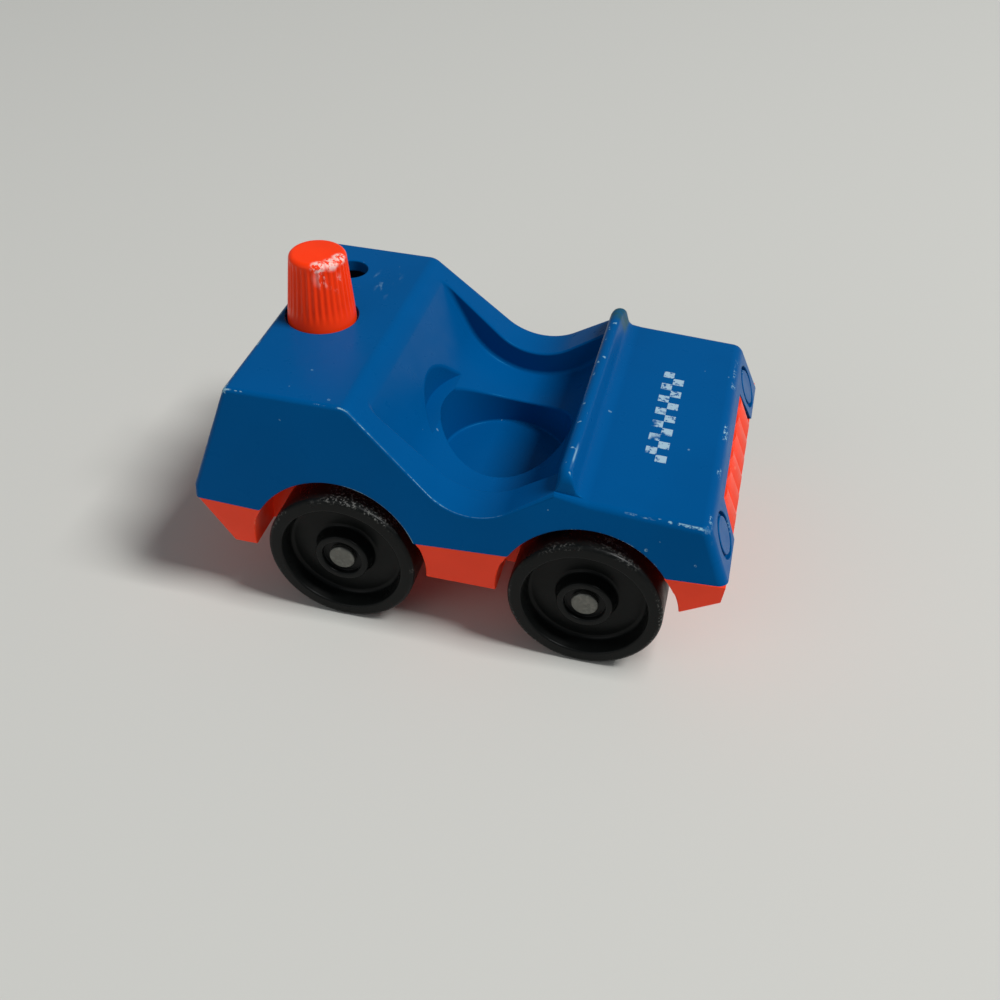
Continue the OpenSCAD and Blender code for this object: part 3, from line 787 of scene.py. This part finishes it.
def skin_row(s, point, normal, rise):
    """Points across the skin at one point of the outline, from the right side over the top to the left.

    The windshield lip falls at its two ends, where it is also pinched towards its ridge and swept forward.
    """
    side = Vector((0, math.cos(s.side_lean), math.sin(s.side_lean)))
    outward = Vector((normal.x, 0, normal.y))
    size = side_rounding(point.x)
    corner = Vector((point.x, half_width(s, point.y), point.y))
    centre = corner - (outward + side) * size / (1 + outward.dot(side))
    edge = [centre + size * outward.slerp(side, i / EDGE_STEPS) for i in range(EDGE_STEPS + 1)]
    half = []
    for i in range(LIP_COLUMNS):
        along = math.sin(i / LIP_COLUMNS * math.pi / 2)
        share = (1 - along ** LIP_FALL) ** (1 / LIP_FALL)
        pinch = (s.lip_x + s.lip_ridge_r - point.x) * LIP_PINCH * (1 - share)
        forward = (pinch + LIP_SWEEP * along ** 2) * rise / (s.lip_z - s.hood_z)
        half.append(edge[0] + Vector((forward, (along - 1) * s.lip_end, rise * share)))
    half += edge
    return [Vector((p.x, -p.y, p.z)) for p in reversed(half)] + half


def grid_place(place, across, down):
    """Column and row, with fractions, of a place on a grid that runs from -1 to 1 both ways."""
    return (place.x + 1) / 2 * across, (place.y + 1) / 2 * down


def shell_skin(s):
    """The outer form of the shell with round side edges and the lip, before anything is cut from it."""
    chain = upper_outline(s)
    points = [point for point, rise, wears in chain]
    steps = [(b - a).normalized() for a, b in zip(points, points[1:])]
    rows = []
    for i, (point, rise, wears) in enumerate(chain):
        along = steps[max(i - 1, 0)] + steps[min(i, len(steps) - 1)]
        rows.append(skin_row(s, point, Vector((along.y, -along.x)).normalized(), rise))
    across, down = len(rows[0]) - 1, len(rows) - 1
    bm = bmesh.new()
    bmesh.ops.create_grid(bm, x_segments=across, y_segments=down, size=1)
    for face in bm.faces:
        column, row = (int(value) for value in grid_place(face.calc_center_median(), across, down))
        from_side = min(column, across - 1 - column) + 0.5
        on_side_edge = abs(from_side - EDGE_STEPS / 2) < 1
        if on_side_edge or (chain[row][2] and chain[row + 1][2]):
            face.material_index = MARK_EDGE
    grid = {}
    for vert in bm.verts:
        column, row = (round(value) for value in grid_place(vert.co, across, down))
        vert.co = rows[row][column]
        grid[row, column] = vert
    rim = [e for e in bm.edges if e.is_boundary]
    for column in (0, across):
        line = {grid[row, column] for row in range(down + 1)}
        side = [e for e in rim if set(e.verts) <= line]
        sill = bm.edges.new((grid[0, column], grid[down, column]))
        bmesh.ops.edgeloop_fill(bm, edges=side + [sill])
    bmesh.ops.edgeloop_fill(bm, edges=[e for e in bm.edges if e.is_boundary])
    bmesh.ops.recalc_face_normals(bm, faces=bm.faces)
    low = Vector((s.seam_low_x, 0, s.seam_low_z))
    for x, z in ((SHELL_LOW.x / MM, s.seam_rear_z), (SHELL_HIGH.x / MM, s.seam_front_z)):
        along = Vector((abs(x - low.x), 0, (z - low.z) * (1 if x > low.x else -1)))
        slice_off(bm, low, Vector((along.z, 0, -along.x)).normalized())
    obj = new_object("body_shell_skin", bm)
    for mark in range(MARKS):
        obj.data.materials.append(bpy.data.materials.new(f"mark_{mark}"))
    return obj


def cockpit_form(s, extra, rounding):
    """The trough of the cockpit, grown by extra, with round feet to its walls."""
    dash_gap = 0.1
    least_turn = 1.0
    radius = s.cockpit_r + extra
    dash_x = s.lip_x - dash_gap + extra
    dash_angle = math.asin((dash_x - s.scoop_x) / radius)
    floor = scoop_arc(s, radius, -s.seat_slope, dash_angle, FLOOR_STEPS)
    seat_top = Vector((floor[0].x - (ABOVE - floor[0].y) / math.tan(s.seat_slope), ABOVE))
    outline = [seat_top] + floor + [Vector((dash_x, ABOVE))]
    bm = prism(outline, -s.cockpit_y - extra, s.cockpit_y + extra)
    if rounding:
        feet = [e for e in bm.edges if e.calc_face_angle() > least_turn
                and abs(e.verts[0].co.y - e.verts[1].co.y) < MERGE]
        round_edges(bm, feet, rounding, segments=5)
    return bm


def relief_form(s, extra):
    """The rear half of the relief round the socket, grown by extra."""
    place = (SOCKET["pos_m"][0] / MM, 0, 0)
    bm = rod(s.relief_r + extra, s.relief_z - extra, ABOVE, place, steps=128)
    slice_off(bm, Vector(place), Vector((1, 0, 0)))
    return bm


def inside_form(s):
    """The hollow of the shell around the cockpit tub."""
    open_z = 10
    tub_half, tub_gap = 5, 2
    deck_edge_x, deck_edge_share = -19.1, 0.4
    # Thickness of the leaning front and rear walls, measured along the car
    front_wall, rear_wall = 1.1 * s.wall, 1.05 * s.wall
    rear_x = SHELL_LOW.x / MM
    nose_x = front_at(s, s.seam_front_z)
    top = s.deck_z - s.wall
    hood = s.hood_front_z - s.wall
    tub_z = s.scoop_z - 2 * s.wall
    deck_front = deck_edge_x - deck_edge_share * s.wall
    deck_rear = rear_x + (top - s.rear_step_z) * math.tan(s.rear_lean) + rear_wall
    outline = [(rear_x + s.wall, open_z), (nose_x - s.wall, open_z),
               (nose_x - front_wall, s.seam_front_z), (front_at(s, hood) - front_wall, hood),
               (s.lip_x - tub_gap, hood), (s.scoop_x + tub_half, tub_z), (s.scoop_x - tub_half, tub_z),
               (deck_front, top), (deck_rear, top), (rear_x + rear_wall, s.rear_step_z)]
    bm = prism([Vector(point) for point in outline], -BESIDE, BESIDE)
    inner_y = s.side_y - s.wall / math.cos(s.side_lean)
    for side in (-1, 1):
        normal = Vector((0, side * math.cos(s.side_lean), math.sin(s.side_lean)))
        slice_off(bm, Vector((0, side * inner_y, s.seam_rear_z)), normal)
    return bm


def hollow_out(obj, s):
    """Adds the socket's cup, and hollows the shell around the cup, the cockpit and the beacon's boss."""
    cup_top, cup_clear = 26, 2
    boss_r, boss_h = 6, 4.2
    cup_r = SOCKET["dims"]["r_mm"] + CUP_WALL
    cup_place = (SOCKET["pos_m"][0] / MM, 0, 0)
    boss_place = (JOINTS["beacon_spin"]["pos_m"][0] / MM, 0, 0)
    combine(obj, rod(cup_r, s.socket_floor_z - CUP_WALL, cup_top, cup_place), MARK_INSIDE, "UNION")
    inside = new_object("inside", inside_form(s))
    inside.data.materials.append(obj.data.materials[0])
    combine(inside, cockpit_form(s, s.wall, 0), MARK_INSIDE)
    combine(inside, rod(cup_r, s.socket_floor_z - cup_clear, ABOVE, cup_place), MARK_INSIDE)
    combine(inside, relief_form(s, CUP_WALL), MARK_INSIDE)
    combine(inside, rod(boss_r, s.deck_z - boss_h, ABOVE, boss_place), MARK_INSIDE)
    hollow = bmesh.new()
    hollow.from_mesh(inside.data)
    bpy.data.objects.remove(inside)
    combine(obj, hollow, MARK_INSIDE)


def cut_seat(obj, s):
    """Cuts the cockpit, the round seat socket and the relief behind it."""
    wall_foot_r, floor_edge_r = 0.9, 0.5
    combine(obj, cockpit_form(s, 0, wall_foot_r), MARK_COCKPIT)
    place = (SOCKET["pos_m"][0] / MM, 0, 0)
    socket = rod(SOCKET["dims"]["r_mm"], s.socket_floor_z, ABOVE, place, steps=128)
    floor_top = s.socket_floor_z + SLIVER
    floor_edges = [e for e in socket.edges if all(v.co.z < floor_top for v in e.verts)]
    round_edges(socket, floor_edges, floor_edge_r)
    combine(obj, socket, MARK_SOCKET)
    combine(obj, relief_form(s, 0), MARK_SOCKET)


def cut_arches(obj, s):
    """Cuts the wheel arches and wells."""
    across = Matrix.Rotation(math.pi / 2, 4, "X")
    for joint, back in (("rear_axle_spin", s.rear_arch_back), ("front_axle_spin", 0)):
        x, y, z = (value / MM for value in JOINTS[joint]["pos_m"])
        for side in (-1, 1):
            low, high = sorted((side * s.arch_y, side * BESIDE))
            arch = rod(s.arch_r, -high, -low, (x - back, y, z), across, steps=128)
            combine(obj, arch, MARK_ARCH)


def grille_window(s):
    """The notch for the grille in the shell's front."""
    below_seam = 4
    from_x, to_x = 36, 56
    low_z, high_z = s.seam_front_z - below_seam, s.grille_z + GRILLE_GAP
    slope = (GRILLE_LOW - GRILLE_HIGH) / (s.grille_z - s.seam_front_z)
    low = GRILLE_HIGH + GRILLE_GAP + slope * (s.grille_z - low_z)
    high = GRILLE_HIGH + GRILLE_GAP - slope * GRILLE_GAP
    outline = [(-low, low_z), (low, low_z), (high, high_z), (-high, high_z)]
    return prism([Vector(point) for point in outline], from_x, to_x, "YZ")


def lamp_groove(s, side):
    """A round groove that draws a headlamp on the front face."""
    width, depth, clear = 0.8, 0.7, 2
    inner = s.lamp_r - width
    profile = [(inner, -depth), (s.lamp_r, -depth), (s.lamp_r, clear), (inner, clear)]
    turn = Matrix.Rotation(math.pi / 2 - s.front_lean, 4, "Y")
    place = (front_at(s, s.lamp_z), side * s.lamp_y, s.lamp_z)
    return turned(profile, place, turn, steps=64)


def cut_front(obj, s):
    """Cuts the grille's notch and the headlamps' grooves."""
    combine(obj, grille_window(s), MARK_FRONT)
    for side in (-1, 1):
        combine(obj, lamp_groove(s, side), MARK_FRONT)


def cut_deck(obj, s):
    """Cuts the beacon's recess and stem hole, and the small hole beside them."""
    recess_gap, recess_depth = 0.3, 1
    stem_hole_r, stem_hole_depth, hole_depth = 3.26, 10, 8
    recess_r = (BEACON_HIGH.y - BEACON_LOW.y) / 2 / MM + recess_gap
    place = (JOINTS["beacon_spin"]["pos_m"][0] / MM, 0, 0)
    combine(obj, rod(recess_r, s.deck_z - recess_depth, ABOVE, place), MARK_DECK)
    combine(obj, rod(stem_hole_r, s.deck_z - stem_hole_depth, ABOVE, place, steps=64), MARK_DECK)
    x, y, z = (value / MM for value in DECK_HOLE["pos_m"])
    hole_r = DECK_HOLE["dims"]["r_mm"]
    combine(obj, rod(hole_r, s.deck_z - hole_depth, ABOVE, (x, y, 0), steps=64), MARK_DECK)


def merge_slivers(obj):
    """Merges the slivers and joins the flat faces that the cuts leave."""
    flat_turn = 1e-4
    bm = bmesh.new()
    bm.from_mesh(obj.data)
    bmesh.ops.remove_doubles(bm, verts=bm.verts, dist=SLIVER)
    bmesh.ops.dissolve_degenerate(bm, edges=bm.edges, dist=SLIVER)
    flat = [e for e in bm.edges if len(e.link_faces) == 2 and e.calc_face_angle() < flat_turn
            and e.link_faces[0].material_index == e.link_faces[1].material_index]
    bmesh.ops.dissolve_edges(bm, edges=flat, use_verts=True)
    bm.to_mesh(obj.data)
    bm.free()


def cut_rounding(s, edge):
    """How far an edge between two cuts, or a cut and the skin, is rounded."""
    least_turn, level, straight, seat_top_depth = 0.2, 0.05, 0.99, 4
    if len(edge.link_faces) != 2:
        return 0.0
    marks = {face.material_index for face in edge.link_faces}
    if len(marks) < 2 or MARK_INSIDE in marks or marks == {MARK_SKIN, MARK_EDGE}:
        return 0.0
    marks.discard(MARK_EDGE)
    on_ledge = all(abs(vert.co.z - s.relief_z) < level for vert in edge.verts)
    if edge.calc_face_angle_signed() < least_turn or on_ledge:
        return 0.0
    along = (edge.verts[1].co - edge.verts[0].co).normalized()
    near_deck = edge.verts[0].co.z > s.deck_z - seat_top_depth
    if abs(along.y) > straight and near_deck and MARK_COCKPIT in marks:
        return s.seat_top_r
    return CUT_ROUNDING[max(marks)]


def build_shell(s):
    """The shell: its skin, then every cut, then the rounding of the edges that the cuts leave."""
    obj = shell_skin(s)
    for cut in (hollow_out, cut_seat, cut_arches, cut_front, cut_deck):
        cut(obj, s)
    merge_slivers(obj)
    round_by_weight(obj, lambda edge: cut_rounding(s, edge), segments=4)
    return obj


class TOYCAR_OT_shell(bpy.types.Operator):
    """Build the blue body shell"""
    bl_idname = "toycar.shell"
    bl_label = "Body shell"

    def execute(self, context):
        obj = build_shell(sizes())
        obj.name = "body_shell_piece"
        finish_piece(obj, blue_plastic(sizes()), "car_body", "body_shell")
        return {"FINISHED"}


# Base

def base_edges(bm, s):
    """The base's outer edges, which the mould leaves round."""
    least_turn, least_slope = 0.6, 0.3
    below_seam, beyond_well = 0.6, 2
    edges = []
    for edge in bm.edges:
        if len(edge.link_faces) != 2 or not edge.is_convex or edge.calc_face_angle() < least_turn:
            continue
        middle = (edge.verts[0].co + edge.verts[1].co) / 2
        below = any(face.normal.z < -least_slope for face in edge.link_faces)
        outside = abs(middle.y) > s.arch_y + beyond_well
        if middle.z < s.seam_low_z - below_seam and (below or outside):
            edges.append(edge)
    return edges


class TOYCAR_OT_base(bpy.types.Operator):
    """Build the orange base with its grille"""
    bl_idname = "toycar.base"
    bl_label = "Chassis base"

    def execute(self, context):
        s = sizes()
        merge = 0.005
        flat = math.radians(0.5)
        bm = bmesh.new()
        bm.from_mesh(frame["nodes"]["chassis_base"].data)
        bmesh.ops.transform(bm, verts=bm.verts, matrix=Matrix.Scale(1 / MM, 4))
        bmesh.ops.remove_doubles(bm, verts=bm.verts, dist=merge)
        bmesh.ops.dissolve_limit(bm, angle_limit=flat, verts=bm.verts, edges=bm.edges)
        for face in bm.faces:
            face.material_index = 0
        round_edges(bm, base_edges(bm, s), s.base_edge_r, segments=3)
        obj = new_object("chassis_base_piece", bm)
        material = orange_plastic()
        for mark in range(MARKS):
            obj.data.materials.append(material)
        finish_piece(obj, material, "car_body", "chassis_base")
        return {"FINISHED"}


# Wheels, axles and fasteners

def soften(corners):
    """An outline whose corners, each given with a radius, are rounded."""
    points = [Vector(point) for point, size in corners]
    outline = []
    for i, (point, size) in enumerate(corners):
        if size:
            after = points[(i + 1) % len(points)]
            outline += rounded(points[i - 1], points[i], after, size, steps=5)
        else:
            outline.append(points[i])
    return outline


def wheel_profile(radius, width):
    """Half of a wheel's cross-section: radius, and place along the axle from its inner face.

    Each corner is given with its rounding.
    """
    axle, cup, hub, hub_foot, dish, rim = 2.4, 3.7, 4.9, 5.4, 10.6, 11.2
    back, front = 3.2, 5.6
    face, recess = width - 0.6, width - 1.6
    return soften([((axle, 0), 0), ((hub, 0), 0.3), ((hub, back), 0.4), ((dish, back), 0.4),
                   ((dish, 0), 0.3), ((radius, 0), 0.9), ((radius, width), 0.8), ((rim, width), 0.4),
                   ((dish, front), 0.9), ((hub_foot, front), 0.7), ((hub, face), 0.35),
                   ((cup, face), 0.3), ((cup, recess), 0.2), ((axle, recess), 0)])


class TOYCAR_OT_wheels(bpy.types.Operator):
    """Turn the four wheels"""
    bl_idname = "toycar.wheels"
    bl_label = "Wheels"

    def execute(self, context):
        shoulder = 0.7
        material = black_plastic()
        for name in WHEELS:
            low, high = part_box(name)
            radius = (high.z - low.z) / 2 / MM
            width = (high.y - low.y) / MM
            side = 1 if low.y > 0 else -1
            inner = (low.y if side > 0 else high.y) / MM
            place = Vector(((low.x + high.x) / 2 / MM, inner, (low.z + high.z) / 2 / MM))
            turn = Matrix.Rotation(-side * math.pi / 2, 4, "X")
            bm = turned(wheel_profile(radius, width), place, turn, steps=128)
            for face in bm.faces:
                middle = face.calc_center_median() - place
                if math.hypot(middle.x, middle.z) > radius - shoulder and abs(middle.y) > width / 2:
                    face.material_index = MARK_EDGE
            obj = new_object(name + "_piece", bm)
            for mark in range(MARKS):
                obj.data.materials.append(material)
            body = "front_wheelset" if "front" in name else "rear_wheelset"
            finish_piece(obj, material, body, name)
        return {"FINISHED"}


def axle_profile(radius, low, high):
    """Half of an axle's cross-section, with rounded ends."""
    edge_r = 0.35
    start, low_edge, high_edge, end = (Vector(point) for point in (
        (0, low), (radius, low), (radius, high), (0, high)))
    ends = rounded(start, low_edge, high_edge, edge_r) + rounded(low_edge, high_edge, end, edge_r)
    return [start] + ends + [end]


def build_screws(low, high):
    """Four pan-head screws with cross recesses, heads down."""
    head_r, head_h, shank_r, tip_r, tip_h = 2.7, 1.8, 1.25, 0.3, 1.5
    head_edge_r = 0.6
    slot_l, slot_w, slot_h = 1.7, 0.4, 0.9
    slot_mark = 1
    corners = [Vector(p) for p in ((0, low), (head_r, low), (head_r, low + head_h))]
    profile = [corners[0]] + rounded(*corners, head_edge_r) + [
        corners[2], (shank_r, low + head_h), (shank_r, high - tip_h), (tip_r, high), (0, high)]
    made = bmesh.new()
    for x, y in SCREWS:
        obj = new_object("screw", turned(profile, (x, y, 0), steps=48, closed=False))
        for mark in range(slot_mark + 1):
            obj.data.materials.append(bpy.data.materials.new("screw_mark"))
        for length_x, length_y in ((slot_l, slot_w), (slot_w, slot_l)):
            slot = bmesh.new()
            bmesh.ops.create_cube(slot, size=2)
            bmesh.ops.scale(slot, vec=(length_x, length_y, slot_h), verts=slot.verts)
            bmesh.ops.translate(slot, vec=(x, y, low), verts=slot.verts)
            combine(obj, slot, slot_mark)
        made.from_mesh(obj.data)
        bpy.data.objects.remove(obj)
    return new_object("base_screws_piece", made)


class TOYCAR_OT_metal(bpy.types.Operator):
    """Turn the axles and the screws, and give the push nut its steel"""
    bl_idname = "toycar.metal"
    bl_label = "Axles and fasteners"

    def execute(self, context):
        material = dull_steel()
        across = Matrix.Rotation(-math.pi / 2, 4, "X")
        for name, body in (("front_axle", "front_wheelset"), ("rear_axle", "rear_wheelset")):
            low, high = (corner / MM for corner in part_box(name))
            middle = (low + high) / 2
            profile = axle_profile((high.z - low.z) / 2, low.y, high.y)
            bm = turned(profile, (middle.x, 0, middle.z), across, steps=64, closed=False)
            finish_piece(new_object(name + "_piece", bm), material, body, name)
        low, high = (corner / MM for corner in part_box("base_screws"))
        finish_piece(build_screws(low.z, high.z), material, "car_body", "base_screws")
        frame["nodes"]["beacon_push_nut"].material_slots[0].material = material
        return {"FINISHED"}


# Beacon

def beacon_profile(s):
    """Half of the beacon's cross-section, from the stem's tip to the top."""
    stem_r, foot_r, top_r, top_edge_r = 3.2, 6.3, 5.1, 1.0
    foot_depth = 0.8
    rings = 20
    foot_z, top_z = s.deck_z - foot_depth, BEACON_HIGH.z / MM
    foot, low, high = Vector((foot_r, foot_z)), Vector((foot_r, s.deck_z)), Vector((top_r, top_z))
    shoulder = rounded(low, high, Vector((0, top_z)), top_edge_r, CORNER_STEPS)
    side = [low.lerp(shoulder[0], i / rings) for i in range(rings)]
    tip_z = BEACON_LOW.z / MM
    return [(0, tip_z), (stem_r, tip_z), (stem_r, foot_z), foot] + side + shoulder + [(0, top_z)]


def build_beacon(s):
    """The beacon with shallow flutes that fade out at its foot and below its top."""
    plain_foot, foot_fade = 1.2, 2.2
    plain_top, top_fade = 0.7, 1.2
    near_axis = 4 * s.flute_depth
    axis_x = JOINTS["beacon_spin"]["pos_m"][0] / MM
    low, high = s.deck_z + plain_foot, BEACON_HIGH.z / MM - plain_top
    bm = turned(beacon_profile(s), (axis_x, 0, 0), steps=s.flute_steps * s.beacon_ribs, closed=False)
    for vert in bm.verts:
        out = vert.co - Vector((axis_x, 0, vert.co.z))
        rise = min(max((vert.co.z - low) / foot_fade, 0.0), 1.0)
        fall = min(max((high - vert.co.z) / top_fade, 0.0), 1.0)
        if out.length < near_axis or rise * fall == 0:
            continue
        wave = 0.5 - 0.5 * math.cos(s.beacon_ribs * math.atan2(out.y, out.x))
        vert.co -= out.normalized() * s.flute_depth * wave * rise * fall
    return new_object("beacon_piece", bm)


class TOYCAR_OT_beacon(bpy.types.Operator):
    """Build the fluted beacon"""
    bl_idname = "toycar.beacon"
    bl_label = "Beacon"

    def execute(self, context):
        obj = build_beacon(sizes())
        finish_piece(obj, beacon_plastic(), "beacon_light", "beacon")
        return {"FINISHED"}


# Stage

def lamp(name, place, size, power):
    """A square soft light that faces the car."""
    data = bpy.data.lights.new(name, "AREA")
    data.size = size
    data.energy = power
    obj = bpy.data.objects.new(name, data)
    obj.location = place
    obj.rotation_euler = (Vector(LAMP_TARGET) - Vector(place)).to_track_quat("-Z", "Y").to_euler()
    bpy.context.scene.collection.objects.link(obj)


def camera(scene):
    """The camera at the photograph's place."""
    azimuth = math.radians(CAMERA_AZIMUTH)
    elevation = math.radians(CAMERA_ELEVATION)
    roll = math.radians(CAMERA_ROLL)
    back = Vector((math.sin(azimuth) * math.cos(elevation), -math.cos(azimuth) * math.cos(elevation),
                   math.sin(elevation)))
    level = (-back).cross(Vector((0, 0, 1))).normalized()
    upright = level.cross(-back)
    right = math.cos(roll) * level + math.sin(roll) * upright
    up = math.cos(roll) * upright - math.sin(roll) * level
    data = bpy.data.cameras.new("camera")
    data.lens = CAMERA_LENS
    data.sensor_width = CAMERA_SENSOR
    obj = bpy.data.objects.new("camera", data)
    turn = Matrix((right, up, back)).transposed().to_4x4()
    obj.matrix_world = Matrix.Translation(Vector(CAMERA_PLACE) * MM) @ turn
    scene.collection.objects.link(obj)
    scene.camera = obj


class TOYCAR_OT_stage(bpy.types.Operator):
    """Set the floor, the light and the camera"""
    bl_idname = "toycar.stage"
    bl_label = "Stage"

    def execute(self, context):
        scene = context.scene
        scene.view_settings.view_transform = "Standard"
        bm = bmesh.new()
        bmesh.ops.create_grid(bm, x_segments=1, y_segments=1, size=FLOOR_REACH)
        floor = new_object("floor", bm)
        paper = Finish("floor_paper", colours().floor, 0.75)
        floor.data.materials.append(paper.material)
        world = bpy.data.worlds.new("studio")
        world.use_nodes = True
        light = world.node_tree.nodes["Background"].inputs
        light["Color"].default_value = (*WORLD_TINT, 1)
        light["Strength"].default_value = WORLD_STRENGTH
        scene.world = world
        for setting in LAMPS:
            lamp(*setting)
        camera(scene)
        return {"FINISHED"}


STEPS = (
    TOYCAR_OT_shell,
    TOYCAR_OT_base,
    TOYCAR_OT_wheels,
    TOYCAR_OT_metal,
    TOYCAR_OT_beacon,
    TOYCAR_OT_stage,
)


class TOYCAR_PT_panel(bpy.types.Panel):
    """The steps that build the car"""
    bl_idname = "TOYCAR_PT_panel"
    bl_label = "Toy car"
    bl_space_type = "VIEW_3D"
    bl_region_type = "UI"
    bl_category = "Toy car"

    def draw(self, context):
        for step in STEPS:
            self.layout.operator(step.bl_idname)


CLASSES = (ToyCarSizes, ToyCarColours, *STEPS, TOYCAR_PT_panel)


def register():
    """Registers the classes and hangs the sizes and colours on the scene."""
    for cls in CLASSES:
        bpy.utils.register_class(cls)
    bpy.types.Scene.toy_car_sizes = PointerProperty(type=ToyCarSizes)
    bpy.types.Scene.toy_car_colours = PointerProperty(type=ToyCarColours)


def unregister():
    """Takes back what register did."""
    del bpy.types.Scene.toy_car_sizes
    del bpy.types.Scene.toy_car_colours
    for cls in reversed(CLASSES):
        bpy.utils.unregister_class(cls)


def main():
    """Builds every piece and the stage."""
    register()
    bpy.ops.toycar.shell()
    bpy.ops.toycar.base()
    bpy.ops.toycar.wheels()
    bpy.ops.toycar.metal()
    bpy.ops.toycar.beacon()
    bpy.ops.toycar.stage()


if __name__ == "__main__":
    main()
